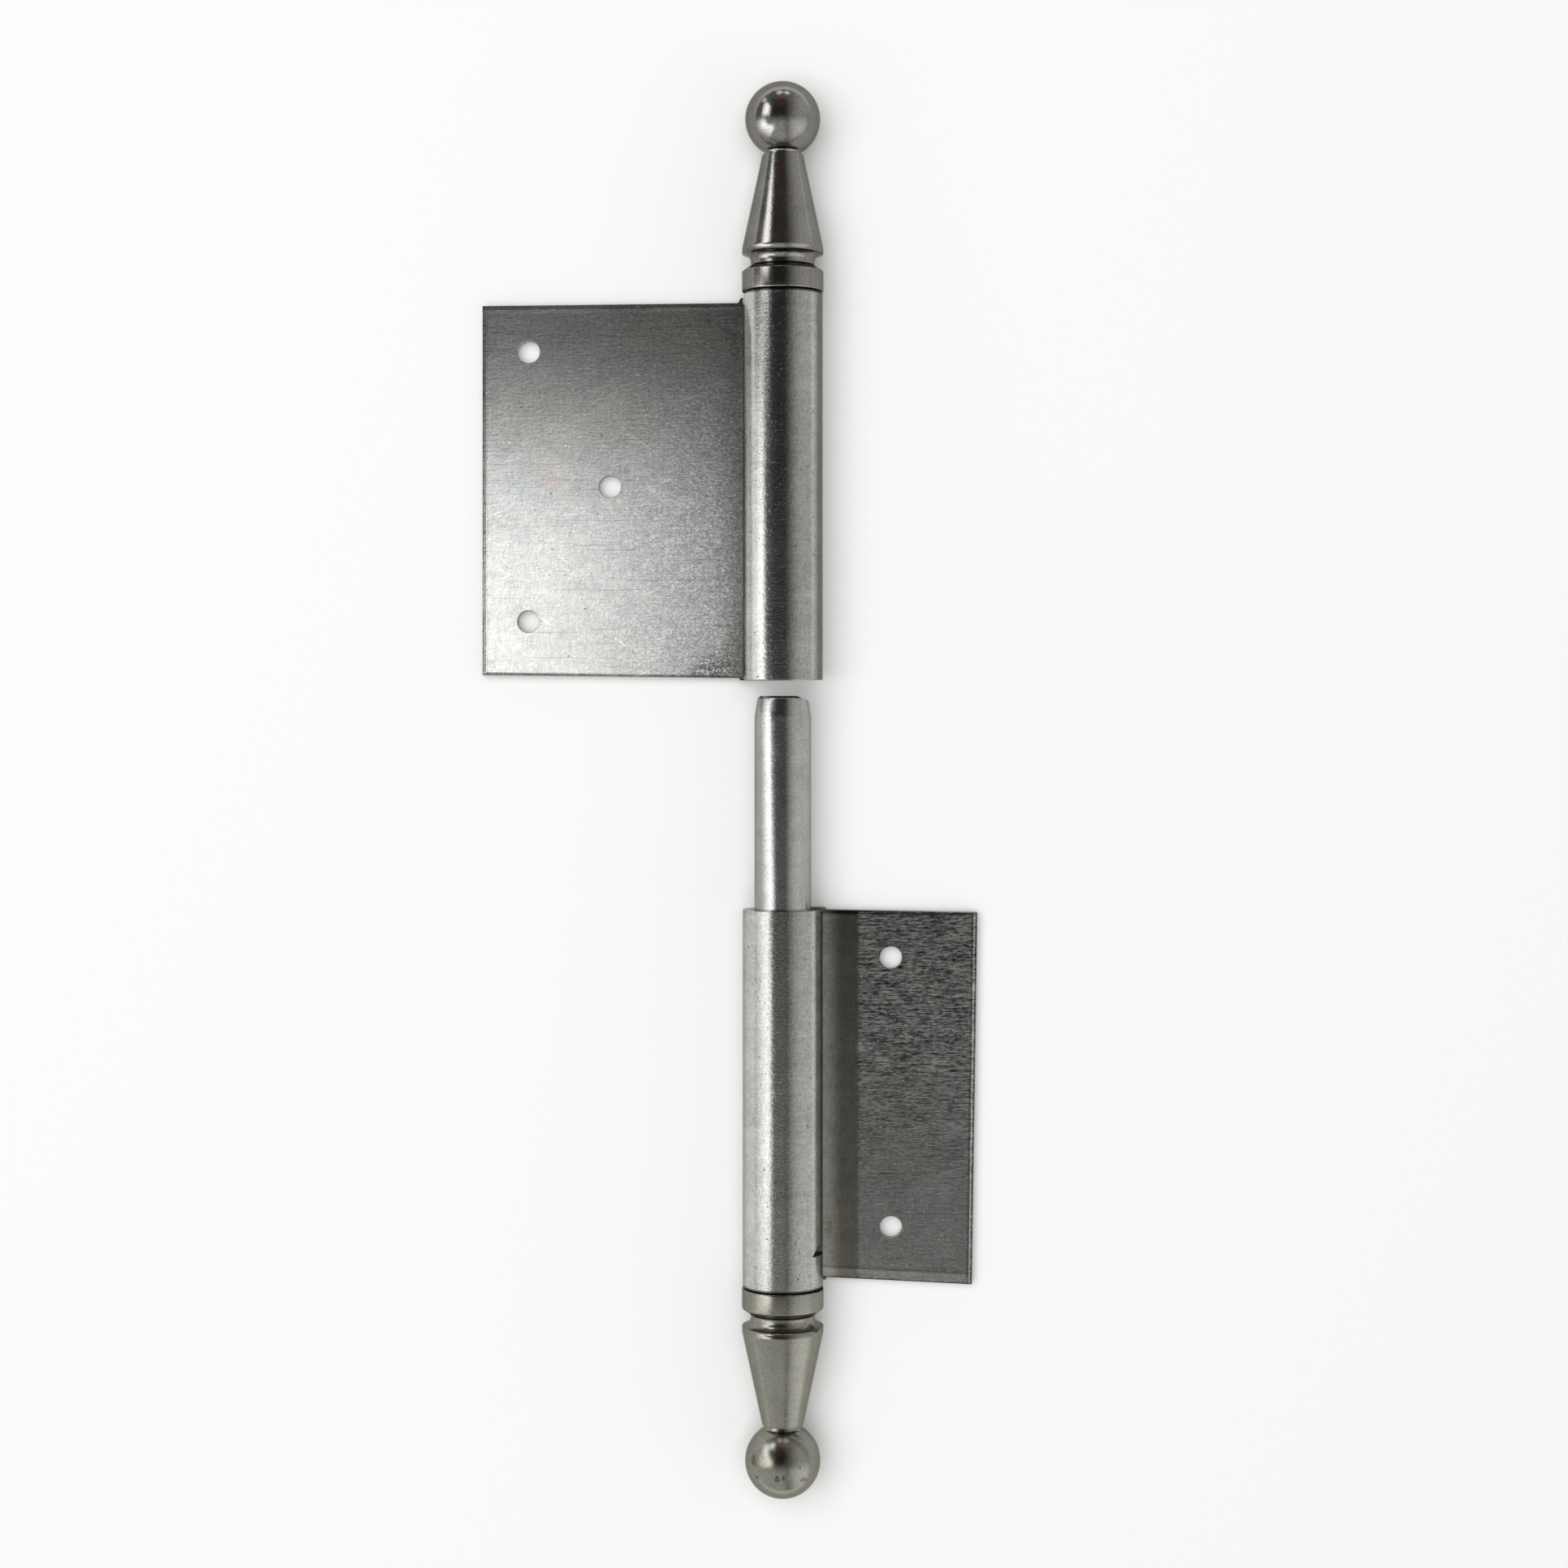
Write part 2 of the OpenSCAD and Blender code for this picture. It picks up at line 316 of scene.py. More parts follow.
def sheet_finish(
    name, tone, side, edges, strips, dash_share, wrinkle_share, edge_tint, painted_shade_share,
    band_share=0.0, marks=(),
):
    """The shares of dashes and wrinkles are functions of the place on the leaf. The flank share darkens the
    roll's flank with painted shade, band_share says how hard the die pressed, and marks are stains: (place
    and reach), tone and strength."""
    sheet = Sheet(name, side)
    x, y, on_roll, on_leaf = sheet.x, sheet.y, sheet.on_roll, sheet.on_leaf
    ragged = sheet.noise(sheet.vector(x * 0.8, y * 1.6, sheet.z), detail=2.0) * 1.6 - 0.8
    band = (sheet.reach + ragged).above(DIE_LINE + 0.4, DIE_LINE - 0.5) * on_leaf * band_share
    off_band = 1.0 - band
    # The strip beside the roll, where the pressed band gets a painted highlight and more roughness.
    root_highlight = sheet.reach.above(ROLL_R + 4.2, ROLL_R) * on_leaf
    painted_shade_flank = sheet.arc.above(5.3, 9.2) * sheet.arc.above(17, 13) * on_roll
    # The roll's ends at the gaps by the finials, which get painted shade.
    joint_gap_shade = abs(y).above(ROLL_END - 0.45, ROLL_END - 0.25) * on_roll

    long_dashes = sheet.grain(3.6, 0.36, detail=3.0, roughness=0.7).above(0.34, 0.66)
    short_dashes = sheet.grain(1.1, 0.55, roughness=0.6, shift=9.0).above(0.34, 0.66)
    dashes = 0.5 * long_dashes + 0.5 * short_dashes - 0.5
    weave = sheet.grain(0.55, 1.6, shift=15.0) - 0.5
    fine = sheet.grain(0.60, 0.52, roughness=0.6, shift=21.0) - 0.5
    patches = sheet.grain(4.5, 1.6, shift=71.0) - 0.5
    sparkle = sheet.grain(0.40, 0.55, detail=0.0, shift=61.0).above(0.72, 0.82)
    wrinkles = abs(sheet.grain(0.9, 0.55, roughness=0.6, shift=33.0) - 0.5).above(0.045, 0.0)
    lines = sheet.grain(14.0, 0.24, detail=1.0, shift=47.0).above(0.66, 0.73)
    clouds = sheet.spots(0.12, 0.16, 0.3, detail=3.0, roughness=0.6) - 0.5
    pits = (sheet.spots(1.4, 1.4, 1.4, detail=1.0) + 0.05 * on_roll).above(0.77, 0.80)
    specks = sheet.spots(1.7, 1.9, 2.0, shift=31.0, detail=0.0).above(0.79, 0.83)
    # Painted shade and painted highlights in lines beside the sheared edges.
    painted_edge_lines = sheet.painted_edge_lines(edges, strips, wobble=fine * 0.5 + clouds * 0.3)

    dash_level = dash_share(x, y) * off_band * on_leaf + 0.16 * on_roll
    wrinkle_level = wrinkle_share(x, y) * off_band * on_leaf + 0.10 * on_roll
    shade = 0.84 + dashes * dash_level + fine * 0.45 + weave * 0.40
    shade = shade + clouds * 0.40 + patches * (0.15 + 0.7 * dash_level)
    shade = shade * (1.0 - wrinkles * wrinkle_level) * (1.0 - 0.30 * lines * off_band * on_leaf)
    shade = shade * (1.0 - 0.42 * band) * (1.0 + 1.9 * root_highlight * band) * (1.0 - 0.65 * pits) * painted_edge_lines
    # Painted shade: the roll's flank is darkened, and so are the roll's ends beside the finials.
    shade = shade * (1.0 - painted_shade_share * painted_shade_flank) * (1.0 - 0.8 * joint_gap_shade)
    shade = shade + (0.9 * specks + 0.25 * sheet.scratches()) * off_band * on_leaf

    colour = sheet.scaled(tone, shade)
    colour = sheet.blend(band * (1.0 - 0.6 * root_highlight), colour, sheet.scaled(PRESSED_TONE, shade))
    patchy = (clouds * 1.6 + dashes * 0.5 + fine * 2.0 + wrinkles * 0.4 + 0.45).above(0.25, 0.75)
    for (at_x, at_y, wide, high), mark_tone, strength in marks:
        away_x, away_y = (x - at_x) / wide, (y - at_y) / high
        near = (away_x * away_x + away_y * away_y).above(1.0, 0.0) * on_leaf
        colour = sheet.blend(near * patchy * strength, colour, sheet.scaled(mark_tone, shade))

    rough = 0.22 - 0.05 * on_roll + 0.08 * clouds + 0.12 * dashes * dash_level
    rough = rough + 0.10 * fine - 0.10 * band + 0.16 * root_highlight * band
    relief = dashes * (0.3 * on_leaf + dash_level) + fine * (0.8 + 0.6 * on_roll)
    relief = relief + sparkle * 0.5 * on_roll - wrinkles * wrinkle_level - pits
    return sheet.feed(
        Base_Color=colour,
        Metallic=1.0,
        Specular_Tint=edge_tint,
        Roughness=rough,
        Normal=sheet.bump(relief * (1.0 - 0.8 * band), SHEET_RELIEF),
    )


print("the die pressed a line", DIE_LINE, "mm from the pin axis")

# %% [markdown]
# ## Drawn and turned zinc
# The pin was drawn through a die and the finials were turned on a lathe. Both are smoother than the sheet,
# with fine rings from the lathe, a mottled skin of plating and a few dark pits. The finials are tinted, olive
# in places and brown in others, and small marks sit where the lathe let go of the ball. The flanks get
# painted shade, a darker colour: in the photograph they are dark, and here the metal alone would mirror the
# pale table in them. EDGE_TINT helps with that, because it dims the mirror image where the metal is seen at a
# slant.

# %% Make the round-bar finishes
EDGE_TINT = (0.55, 0.55, 0.53)
PARTING_TONE = (0.07, 0.065, 0.05)
BAR_RELIEF = 0.010


def bar_finish(name, tone, second_tone, rough_level, ring_share, painted_shade_share, skin, marks=()):
    """tone and second_tone are mixed in soft patches, and skin is the strength of the mottled plating. marks
    are (place along Y and X, reach along Y and X, strength)."""
    finish = Finish(name)
    x, y, z = finish.place()
    out_x = x - AXIS_X
    out_z = z - AXIS_Z

    def speckle(size, detail=2.0, roughness=0.5, shift=0.0):
        where = finish.vector(out_x / size, y * (1.0 / size) + shift, out_z / size)
        return finish.noise(where, detail=detail, roughness=roughness)

    mottle = speckle(0.42, roughness=0.6, shift=5.0) - 0.5
    clouds = speckle(4.5, detail=3.0, roughness=0.6) - 0.5
    patches = speckle(2.6, shift=40.0).above(0.42, 0.62)
    rings = finish.noise(finish.vector(out_x * 0.2, y * 7.0, out_z * 0.2), detail=2.0) - 0.5
    pits = speckle(0.8, detail=1.0, shift=70.0).above(0.76, 0.80)
    shade = 0.88 + 0.36 * clouds + skin * 0.42 * mottle + ring_share * 0.4 * rings
    facing = finish.parts(finish.add("TexCoord", out="Normal"))[2]
    # Painted shade: where the surface faces sideways, its colour is darkened.
    painted_shade_flank = abs(facing).above(0.80, 0.64)
    shade = shade * (1.0 - 0.6 * pits) * (1.0 - painted_shade_share * painted_shade_flank)
    colour = finish.scaled(finish.blend(patches, tone, second_tone), shade)
    for at_y, at_x, long, wide, strength in marks:
        away_y, away_x = (y - at_y + mottle * 1.6) / long, (x - at_x + clouds * 2.0) / wide
        near = (away_x * away_x + away_y * away_y).above(1.0, 0.2) * z.above(AXIS_Z, AXIS_Z + 1)
        colour = finish.blend(near * strength * (mottle * 3.0 + 0.8), colour, PARTING_TONE)
    return finish.feed(
        Base_Color=colour,
        Metallic=1.0,
        Specular_Tint=EDGE_TINT,
        Roughness=rough_level + 0.12 * clouds + 0.10 * skin * mottle,
        Normal=finish.bump(mottle * skin + rings * ring_share - pits, BAR_RELIEF),
    )


pin_zinc = bar_finish(
    "zinc_pin", (0.70, 0.71, 0.69), (0.64, 0.66, 0.64),
    rough_level=0.20, ring_share=0.1, painted_shade_share=0.4, skin=1.5,
)
upper_zinc = bar_finish(
    "zinc_turned_upper", (0.47, 0.475, 0.44), (0.48, 0.44, 0.41),
    rough_level=0.16, ring_share=0.25, painted_shade_share=0.52, skin=1.6,
)
lower_zinc = bar_finish(
    "zinc_turned_lower", (0.47, 0.475, 0.41), (0.49, 0.465, 0.40),
    rough_level=0.22, ring_share=0.25, painted_shade_share=0.42, skin=1.5,
    marks=[
        (-135.5, 9.8, 0.9, 0.55, 0.9), (-135.3, 10.9, 0.7, 0.45, 0.8), (-135.6, 5.7, 0.4, 0.35, 0.8),
        (-135.9, 15.0, 0.6, 0.9, 0.6), (-132.3, 4.7, 1.4, 0.6, 0.7), (-130.8, 10.2, 2.3, 1.0, 0.45),
        (-127.2, 10.4, 1.6, 0.7, 0.35), (-133.2, 14.0, 0.4, 0.4, 0.6),
    ],
)
print("bar finishes:", pin_zinc.name, upper_zinc.name, lower_zinc.name)

# %% [markdown]
# ## The leaves
# The CAD solid has dead sharp edges. On the real sheet the shears pull each edge down a little and the
# punch does the same round each hole, and that is where the light catches. Bevelling every edge alike would
# look cast. So a copy of the solid's mesh is welded, its flat faces are joined, and each real edge gets a
# bevel weight: the modifier then cuts wide and narrow bevels in one pass, and the solid itself stays as it
# is.

# %% Copy a solid as an editable mesh
WELD_REACH = 0.002
FLAT_ANGLE = math.radians(0.5)
SHARP_ANGLE = math.radians(20)
EDGE_WIDEST = 0.5
dressed = {}


def copy_of(node_name):
    """A welded copy of a node's mesh, with its flat faces joined."""
    bm = bmesh.new()
    bm.from_mesh(frame["nodes"][node_name].data)
    bmesh.ops.remove_doubles(bm, verts=bm.verts, dist=WELD_REACH * MM)
    bmesh.ops.dissolve_limit(bm, angle_limit=FLAT_ANGLE, verts=bm.verts, edges=bm.edges)
    return bm


def finish_piece(bm, name, body, node_name, material, bevelled=True):
    """Turns the bmesh into a piece that rides on its body in the node's place."""
    mesh = bpy.data.meshes.new(name)
    bm.to_mesh(mesh)
    bm.free()
    for face in mesh.polygons:
        face.use_smooth = True
    piece = bpy.data.objects.new(name, mesh)
    bpy.context.scene.collection.objects.link(piece)
    if bevelled:
        bevel = piece.modifiers.new("worn_edges", "BEVEL")
        bevel.limit_method = "WEIGHT"
        bevel.width = EDGE_WIDEST * MM
        bevel.segments = 3
        bevel.use_clamp_overlap = True
        normals = piece.modifiers.new("even_shading", "WEIGHTED_NORMAL")
        normals.keep_sharp = False
    mesh.materials.append(material)
    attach(piece, body)
    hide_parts(node_name)
    dressed[node_name] = piece
    print(f"{name}: {len(mesh.vertices)} points, rides on {body}")


def weigh_edges(bm, rule):
    """Gives each sharp edge the bevel weight that rule(middle, edge) returns, from 0 to 1."""
    layer = bm.edges.layers.float.new("bevel_weight_edge")
    marked = 0
    for edge in bm.edges:
        if len(edge.link_faces) == 2 and edge.calc_face_angle() > SHARP_ANGLE:
            middle = (edge.verts[0].co + edge.verts[1].co) / 2 / MM
            edge[layer] = rule(middle, edge)
            marked += 1
    print(marked, "sharp edges weighed")


# %% [markdown]
# The shears leave a narrow slope beside each cut edge, too wide for a bevel. The three long edges of the
# flat front are found by their place. Lines are then cut beside each one, and the points between them sink,
# so the slope is in the mesh and not only in the shading. The same edges later tell the finish where its
# stripes run.

# %% Pull the sheared edges down
EDGE_LENGTH = 20
ON_FRONT = 0.02
CUT_SHARES = (1.0, 0.88, 0.15)


def sheared_edges(bm):
    """The long straight edges round the front of the flat leaf: side -> (point, inward direction)."""
    found = {}
    for edge in bm.edges:
        a, b = (vert.co / MM for vert in edge.verts)
        flat = abs(a.z - FRONT_Z) < ON_FRONT and abs(b.z - FRONT_Z) < ON_FRONT
        if not flat or (a - b).length < EDGE_LENGTH or edge.calc_face_angle(0) < SHARP_ANGLE:
            continue
        if min(abs(a.x - AXIS_X), abs(b.x - AXIS_X)) < ROLL_R and abs(a.x - b.x) < 1:
            continue
        inward = Vector((b.y - a.y, a.x - b.x, 0)).normalized()
        middle = sum((vert.co for face in edge.link_faces for vert in face.verts), Vector()) / MM
        middle /= sum(len(face.verts) for face in edge.link_faces)
        if inward.dot(middle - a) < 0:
            inward = -inward
        side = "outer" if abs(inward.x) > 0.9 else "foot" if inward.y > 0 else "head"
        found[side] = (a.copy(), inward)
    return found


def pull_down(bm, edges, slopes):
    """Cuts lines beside each sheared edge and slopes the strip down to it. slopes: side -> (width, slope)."""
    front = [
        face for face in bm.faces
        if face.normal.z > 0.99 and abs(face.calc_center_median().z / MM - FRONT_Z) < 0.05
    ]
    for side, (point, inward) in edges.items():
        for share in CUT_SHARES:
            cut = (point + inward * slopes[side][0] * share) * MM
            around = {part for face in front if face.is_valid for part in (*face.verts, *face.edges)}
            geometry = [face for face in front if face.is_valid] + list(around)
            made = bmesh.ops.bisect_plane(bm, geom=geometry, plane_co=cut, plane_no=inward, dist=0.001 * MM)
            front = [part for part in made["geom"] if isinstance(part, bmesh.types.BMFace)]
    for vert in {vert for face in front for vert in face.verts}:
        lowered = 0.0
        for side, (point, inward) in edges.items():
            width, slope = slopes[side]
            away = inward.dot(vert.co / MM - point)
            if -0.01 < away < width:
                lowered = max(lowered, slope * (width - away))
        vert.co.z -= lowered * MM
    print(len(edges), "sheared edges pulled down")


# %% [markdown]
# The wide leaf is palest towards its near left corner and stained in a few places: dark and olive by the
# knuckle's open end, faintly pink and blue beyond the middle hole, brown along the head. Its strips are
# painted shade and highlight: a dark line on the cut, a pale one beside it, and a second thin line further
# in.

# %% Soften the door leaf
ROLL_RIM, BORE_RIM = 0.6, 0.25
BACK_EDGE, FRONT_EDGE, HEAD_EDGE = 0.3, 0.3, 0.1
HOLE_RIM = 0.9
HEAD_Y = 90


def leaf_edge(middle, edge):
    """The bevel weight of an edge of a leaf. The rims of the holes are made of edges under a millimetre."""
    out = math.hypot(middle.x - AXIS_X, middle.z - AXIS_Z)
    if out < ROLL_R + 0.2 and middle.z > FRONT_Z + 0.1:
        return ROLL_RIM if out > ROLL_R - SHEET_T / 2 else BORE_RIM
    if middle.z < FRONT_Z - 0.5:
        return BACK_EDGE
    if edge.calc_length() < 1 * MM:
        return HOLE_RIM
    return HEAD_EDGE if middle.y > HEAD_Y else FRONT_EDGE


door_leaf = copy_of("door_leaf")
door_edges = sheared_edges(door_leaf)
pull_down(door_leaf, door_edges, {"outer": (0.8, 0.10), "head": (0.9, 0.03), "foot": (0.6, 0.20)})
door_zinc = sheet_finish(
    "zinc_sheet_door", (0.67, 0.68, 0.66), -1, door_edges,
    strips=[
        ("head", -1.0, 0.85, 0.80), ("head", 0.85, 1.7, 1.22),
        ("outer", -1.0, 0.2, 0.7), ("outer", 0.2, 0.8, 1.12), ("outer", 0.85, 1.15, 0.82),
        ("foot", -1.0, 0.3, 0.5),
    ],
    dash_share=lambda x, y: 0.05 + 0.13 * x.above(-35, 4),
    wrinkle_share=lambda x, y: 0.08 + 0.24 * x.above(-40, 2),
    edge_tint=(0.65, 0.65, 0.62),
    painted_shade_share=0.75,
    marks=[
        ((-2.0, 22.5, 9.0, 6.0), (0.10, 0.11, 0.13), 0.9),
        ((2.0, 24.0, 4.0, 12.0), (0.46, 0.40, 0.25), 0.8),
        ((-36.0, 62.5, 4.5, 3.2), (0.90, 0.66, 0.58), 0.35),
        ((-41.0, 60.0, 5.0, 3.0), (0.60, 0.64, 0.85), 0.3),
        ((-31.0, 75.0, 26.0, 10.0), (0.70, 0.63, 0.56), 0.25),
        ((-10.0, 92.0, 16.0, 7.0), (0.70, 0.62, 0.54), 0.45),
    ],
)
weigh_edges(door_leaf, leaf_edge)
finish_piece(door_leaf, "door_leaf_sheet", "door_half", "door_leaf", door_zinc)

# %% [markdown]
# The narrow leaf lies in the dark, so its dashes show, and they thin out towards the finial. Here the shears
# bit deeper at the outer edge, and at the foot they left a slope of two millimetres. A line of painted shade
# runs along the slope's top, and the other edge lines are painted shade and highlight as on the wide leaf.

# %% Soften the frame leaf
frame_leaf = copy_of("frame_leaf")
frame_edges = sheared_edges(frame_leaf)
pull_down(frame_leaf, frame_edges, {"outer": (0.8, 0.30), "head": (0.8, 0.12), "foot": (2.0, 0.08)})
frame_zinc = sheet_finish(
    "zinc_sheet_frame", (0.63, 0.64, 0.62), 1, frame_edges,
    strips=[
        ("head", -1.0, 0.3, 0.7), ("head", 0.3, 1.2, 0.85), ("head", 1.3, 1.7, 1.15),
        ("outer", -1.0, 0.38, 0.30), ("outer", 0.8, 1.15, 0.55),
        ("foot", -1.0, 0.3, 0.5), ("foot", 2.0, 2.5, 0.78),
    ],
    dash_share=lambda x, y: 0.12 + 1.10 * y.above(-88, -46),
    wrinkle_share=lambda x, y: 0.08 + 0.10 * y.above(-85, -60),
    edge_tint=(0.5, 0.5, 0.48),
    painted_shade_share=0.3,
    band_share=1.0,
    marks=[
        ((34.0, -66.0, 9.0, 16.0), (0.64, 0.50, 0.38), 0.25),
        ((19.6, -88.0, 1.5, 3.2), (0.20, 0.20, 0.13), 0.5),
    ],
)
weigh_edges(frame_leaf, leaf_edge)
finish_piece(frame_leaf, "frame_leaf_sheet", "frame_half", "frame_leaf", frame_zinc)

# %% [markdown]
# ## The pin
# A drawn bar with a tapered lead and a one-sided bevel at its tip, which helps the door find it. Its edges
# were broken by tumbling, so they get one narrow bevel.

# %% Soften the pin
PIN_EDGE = 0.6
pin = copy_of("hinge_pin")
weigh_edges(pin, lambda middle, edge: PIN_EDGE)
finish_piece(pin, "pin_bar", "pin", "hinge_pin", pin_zinc)

# %% [markdown]
# ## The finials
# Each finial is one turned bar: spigot, ring, groove, cone, neck and ball. A lathe makes it from one
# outline, and so do these cells: the outline's corners are rounded by small arcs, then the whole line is
# spun round the axis. Bevelling the solid would keep its coarse facets, which a polished ball shows at
# once.

# %% Round an outline and spin it
def rounded(points, steps=5):
    """Points are (radius, height, rounding). Each corner with a rounding becomes a small arc."""
    line = []
    for index, (r, h, fillet) in enumerate(points):
        here = Vector((r, h))
        if not fillet or index in (0, len(points) - 1):
            line.append(here)
            continue
        before = Vector(points[index - 1][:2]) - here
        after = Vector(points[index + 1][:2]) - here
        half = before.angle(after) / 2
        reach = min(fillet / math.tan(half), before.length * 0.49, after.length * 0.49)
        start = here + before.normalized() * reach
        end = here + after.normalized() * reach
        for step in range(steps + 1):
            t = step / steps
            line.append(start * (1 - t) ** 2 + here * 2 * t * (1 - t) + end * t ** 2)
    return line


def spun(line, start_y, direction, segments=144):
    """A closed bmesh from a line that starts and ends on the axis."""
    bm = bmesh.new()
    rings = []
    for r, h in line:
        height = start_y + direction * h
        if r < 0.001:
            rings.append([bm.verts.new((AXIS_X * MM, height * MM, AXIS_Z * MM))])
            continue
        ring = []
        for step in range(segments):
            turn = 2 * math.pi * step / segments
            spot = (AXIS_X + r * math.cos(turn), height, AXIS_Z + r * math.sin(turn))
            ring.append(bm.verts.new(Vector(spot) * MM))
        rings.append(ring)
    for low, high in zip(rings, rings[1:]):
        for step in range(segments):
            corners = []
            for ring, place in ((low, step), (low, step + 1), (high, step + 1), (high, step)):
                vert = ring[place % len(ring)]
                if vert not in corners:
                    corners.append(vert)
            bm.faces.new(corners)
    bmesh.ops.recalc_face_normals(bm, faces=bm.faces)
    return bm


# %% Draw the finial's outline
SPIGOT_R, RING_GAP = 5.65, 0.3
RING_R, RING_TOP = 8.15, 4.0
GROOVE_R, GROOVE_LOW, GROOVE_TOP = 6.4, 5.3, 5.9
COVE_R, COVE_TOP, FOOT_R, FOOT_TOP = 1.7, 7.6, 8.1, 8.8
CONE_TOP_R, CONE_TOP = 4.1, 27.3
NECK_R, NECK_TOP, BALL_R = 3.6, 27.9, 7.5
COVE_STEPS, BALL_STEPS = 12, 48


def finial_outline(spigot_l):
    """Heights in millimetres from the ring's face, which looks at the knuckle."""
    ball_h = NECK_TOP + math.sqrt(BALL_R ** 2 - NECK_R ** 2)
    spigot_end = -RING_GAP - spigot_l
    line = rounded([
        (0, spigot_end, 0), (SPIGOT_R, spigot_end, 0.6), (SPIGOT_R, 0, 0.1),
        (RING_R, 0, 0.35), (RING_R, RING_TOP, 0.35), (GROOVE_R, GROOVE_LOW, 0.3), (GROOVE_R, GROOVE_TOP, 0),
    ])
    for step in range(1, COVE_STEPS + 1):
        turn = math.pi / 2 * step / COVE_STEPS
        line.append(Vector((FOOT_R - COVE_R * math.cos(turn), GROOVE_TOP + COVE_R * math.sin(turn))))
    line += rounded([
        (FOOT_R, COVE_TOP, 0), (FOOT_R, FOOT_TOP, 0.5), (CONE_TOP_R, CONE_TOP, 0.15),
        (NECK_R, CONE_TOP, 0.1), (NECK_R, NECK_TOP, 0),
    ])[1:]
    start = math.asin(NECK_R / BALL_R)
    for step in range(1, BALL_STEPS + 1):
        turn = start + (math.pi - start) * step / BALL_STEPS
        line.append(Vector((BALL_R * math.sin(turn), ball_h - BALL_R * math.cos(turn))))
    line[-1].x = 0
    return line


print(f"a finial is {finial_outline(0)[-1].y:.2f} mm long from its ring to the tip of its ball")

# %% Turn both finials
for name, body, node_name, spigot_l, direction, material in [
    ("door_finial", "door_half", "upper_finial", 34.75, 1, upper_zinc),
    ("frame_finial", "frame_half", "lower_finial", 15.0, -1, lower_zinc),
]:
    low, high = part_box(node_name)
    tip = (high if direction > 0 else low)[1] / MM
    line = finial_outline(spigot_l)
    ring_y = tip - direction * line[-1].y
    finish_piece(spun(line, ring_y, direction), name, body, node_name, material, bevelled=False)
    print(f"{name}: ring face at y {ring_y:.2f} mm")

# %% [markdown]
# ## Table and light
# Polished metal shows its room. The hinge's rolls are dark in the middle, where they look straight up into
# a dim ceiling, and carry one bright line on the left, where a long window stands close to the table. The
# finials show that the room is paler at the foot end. The sky of this scene is that room: a formula of the
# direction, with five soft spots in it. Two are brownish, over the head end, and three are far windows that
# put small highlights on the upper ball. A picture of a room would do too, but each part of a formula can
# be moved and dimmed.

# %% Paint the room
world = bpy.data.worlds.new("room")
bpy.context.scene.world = world
world.use_nodes = True
room = Network(world.node_tree)
look_x, look_y, look_z = room.parts(room.add("TexCoord", out="Generated"))
right = look_x.above(0.05, 0.95)
left = look_x.above(-0.35, -0.90)
foot = look_y.above(0.10, -0.48)
head = look_y.above(0.45, 0.95)
beam = look_x.above(0.04, 0.18) * look_x.above(0.50, 0.20)
grey = 0.022 + 0.46 * right + 0.08 * left + 0.44 * foot * (1.0 - 0.5 * beam) + 0.10 * head
colour = room.scaled((1.0, 1.0, 0.97), grey)

# Each spot says where it lies, its reach in degrees, its tint and its strength.
for (aim_x, aim_y, aim_z), reach, tint, strength in [
    ((-0.10, 0.62, 0.78), 20, (0.060, 0.044, 0.040), 1.0),
    ((-0.12, 0.97, 0.22), 6, (1.0, 0.97, 0.92), 1.6),
    ((0.16, 0.96, 0.24), 5, (1.0, 0.97, 0.92), 1.5),
    ((-0.70, 0.69, 0.19), 6, (1.0, 0.97, 0.94), 1.4),
    ((-0.04, 0.86, 0.50), 13, (0.42, 0.19, 0.14), 0.5),
]:
    toward = look_x * aim_x + look_y * aim_y + look_z * aim_z
    spot = toward.above(math.cos(math.radians(reach)), math.cos(math.radians(reach * 0.4)))
    colour = room.blend(spot, colour, tuple(share * strength for share in tint))
background = world.node_tree.nodes["Background"]
plug(room.tree, background.inputs["Color"], colour)
bpy.context.scene.view_settings.view_transform = "Standard"
print("the room is a formula of", len(room.tree.nodes), "nodes")

# %% [markdown]
# The table is plain and nearly white. Under the window alone it would run from white to grey, so it has a
# lamp of its own, very large and high up, which leaves only a faint soft shadow round the hinge.

# %% Lay the table
TABLE_W = 6.0
bpy.ops.mesh.primitive_plane_add(size=TABLE_W, location=(0, 0, 0))
table = bpy.context.object
table.name = "table"
paint = Finish("pale_table")
paint.feed(Base_Color=(0.90, 0.90, 0.895), Roughness=0.9, Specular_IOR_Level=0.1)
table.data.materials.append(paint.material)
print("table laid at height", table.location.z)

# %% [markdown]
# Three lamps do the lighting: the window for the metal, the large one for the table, and a small card that
# lifts the door leaf towards its near left corner. Each lights only its own pieces. Blender's light linking
# does that: a lamp names the objects that receive it. How bright each place of the window is decides the
# shape of the bright line on the rolls, so window and card each have a formula for it, in millimetres of
# the room.

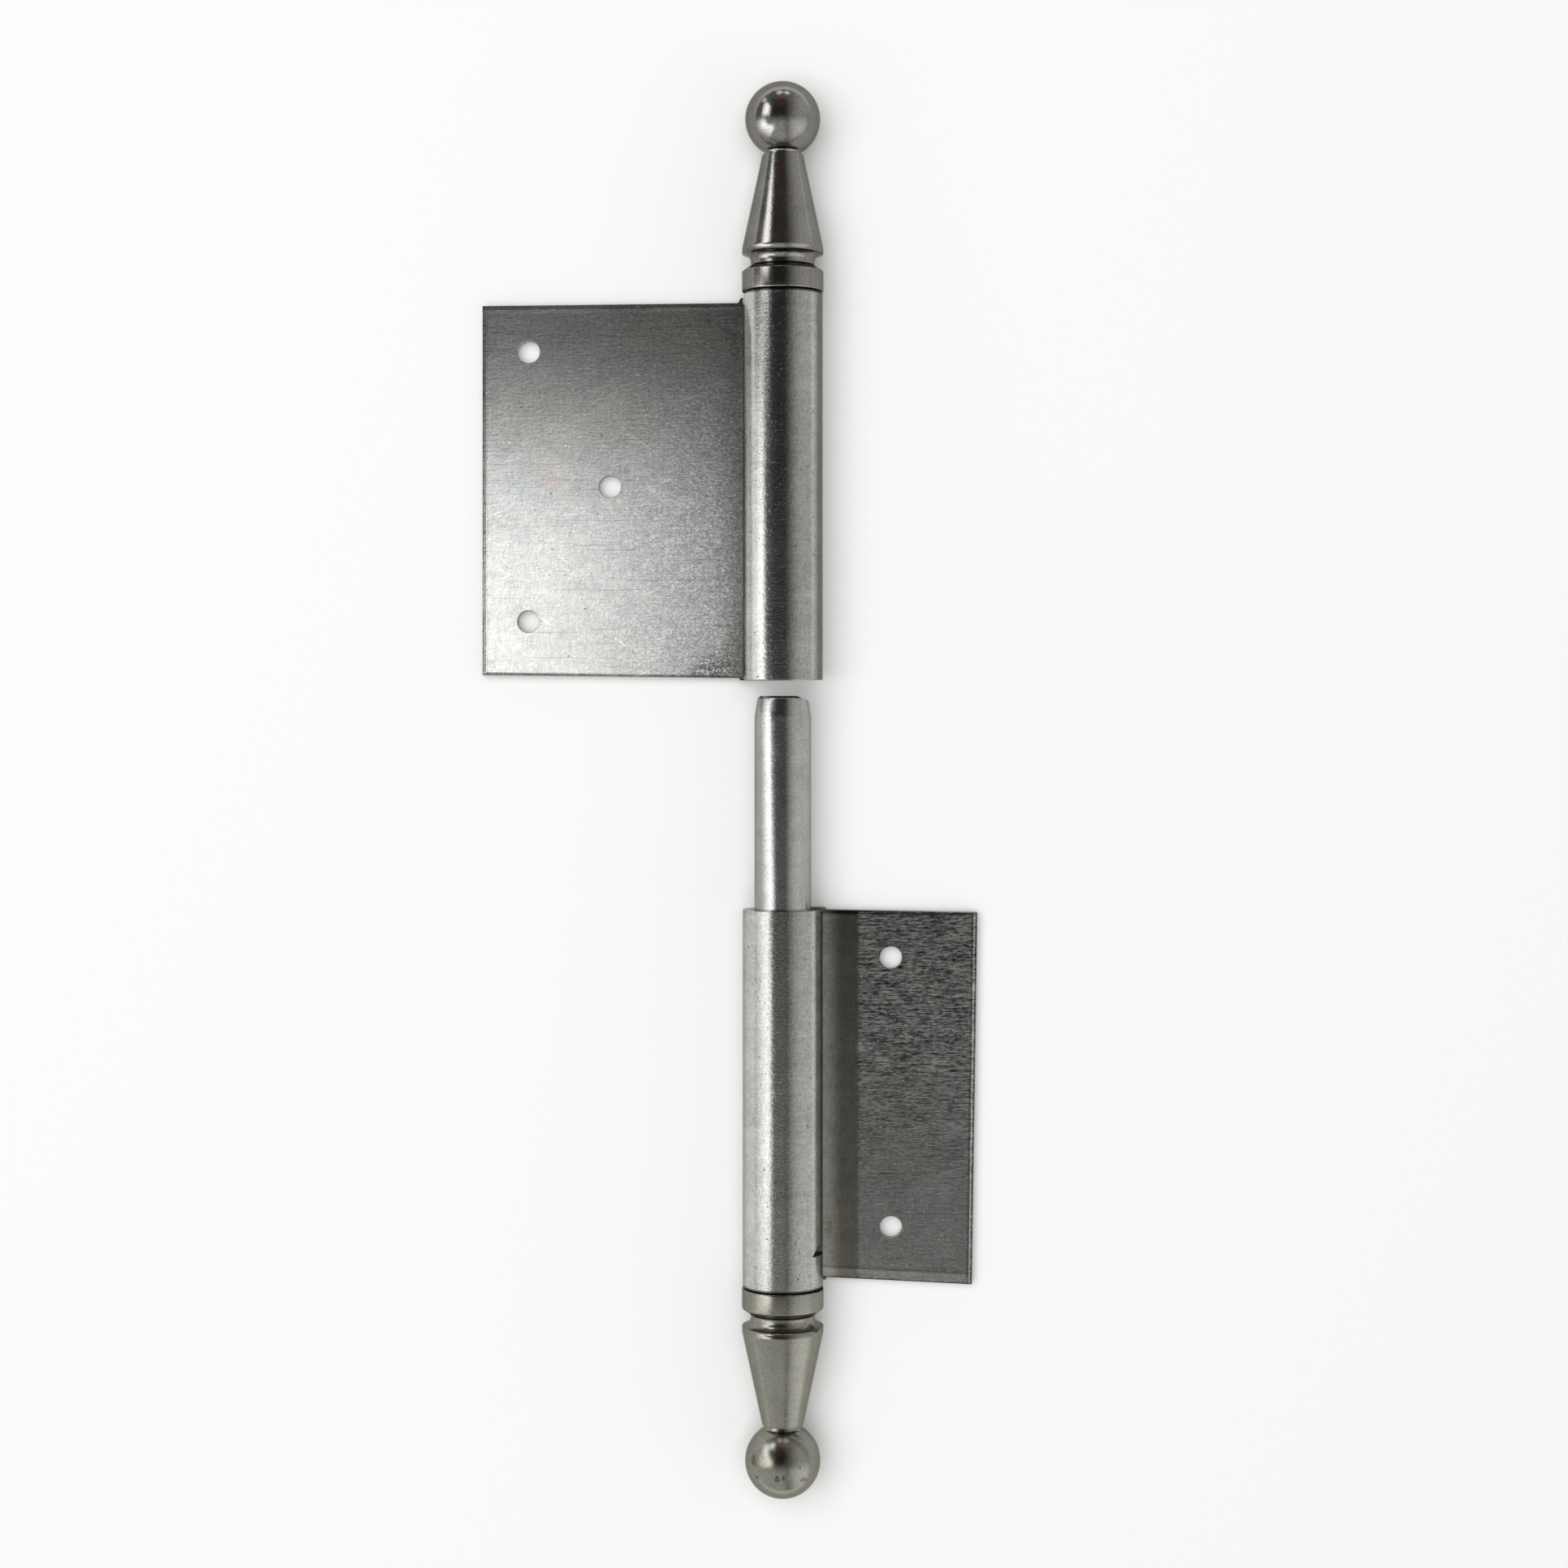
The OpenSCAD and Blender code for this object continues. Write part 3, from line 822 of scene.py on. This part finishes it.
# %% Make a lamp
def panel(name, place, target, size, radiance, receivers, spread=180, glow=None):
    """A soft rectangular lamp, unseen by the camera. glow(x, y, z) says how bright each place of it is."""
    data = bpy.data.lights.new(name, "AREA")
    data.shape = "RECTANGLE"
    data.size, data.size_y = size[0] * MM, size[1] * MM
    data.energy = radiance * math.pi * data.size * data.size_y
    data.spread = math.radians(spread)
    lamp = bpy.data.objects.new(name, data)
    lamp.location = Vector(place) * MM
    aim = Vector(target) * MM - lamp.location
    lamp.rotation_mode = "QUATERNION"
    lamp.rotation_quaternion = aim.to_track_quat("-Z", "Y")
    lamp.visible_camera = False
    bpy.context.scene.collection.objects.link(lamp)
    if glow:
        data.use_nodes = True
        pane = Network(data.node_tree)
        x, y, z = pane.parts(pane.scaled(pane.add("NewGeometry", out="Position"), 1.0 / MM))
        light = pane.scaled((1.0, 1.0, 1.0), glow(x, y, z))
        plug(pane.tree, data.node_tree.nodes["Emission"].inputs["Color"], light)
    lit = bpy.data.collections.new(name + "_lights")
    for receiver in receivers:
        lit.objects.link(receiver)
    lamp.light_linking.receiver_collection = lit
    print(f"{name}: {data.energy:.3f} W on {len(receivers)} pieces")


print("panels are ready to hang")

# %% Hang the lamps
def window_glow(x, y, z):
    """Brightest along its upper edge, which is higher and softer at the foot end. A far pane follows at the
    head end."""
    foot_end = y.above(40, -90)
    level = z / (180.0 + 150.0 * foot_end)
    length = 0.10 + 0.38 * y.above(140, 100) + 0.52 * y.above(120, 50)
    height = 0.16 + 0.26 * y.above(-80, 70) + 1.15 * level
    pane = length * height * level.above(1.18 + 0.22 * foot_end, 0.68)
    far_pane = 1.3 * level.above(0.55, 0.90) * level.above(1.8, 1.2)
    far = y.above(120, 190)
    return (pane * (1.0 - 0.85 * far) + far_pane * far) * y.above(-210, -150)


def card_glow(x, y, z):
    """Pale at the near left corner, dark at the far right one."""
    return (0.14 + 0.86 * y.above(100, 42)) * (0.33 - 0.0138 * x)


# Each panel says where it hangs, what it faces, its size and how brightly it shines.
panel("window", (-220, 60, 240), (10, 60, 240), (560, 480), 1.75, list(dressed.values()), glow=window_glow)
panel("table_lamp", (-500, 250, 2300), (0, 0, 0), (2600, 2600), 2.9, [table])
panel(
    "leaf_card", (-50, 62, 40), (-50, 62, 0), (101, 140), 0.122, [dressed["door_leaf"]],
    spread=40, glow=card_glow,
)

# %% [markdown]
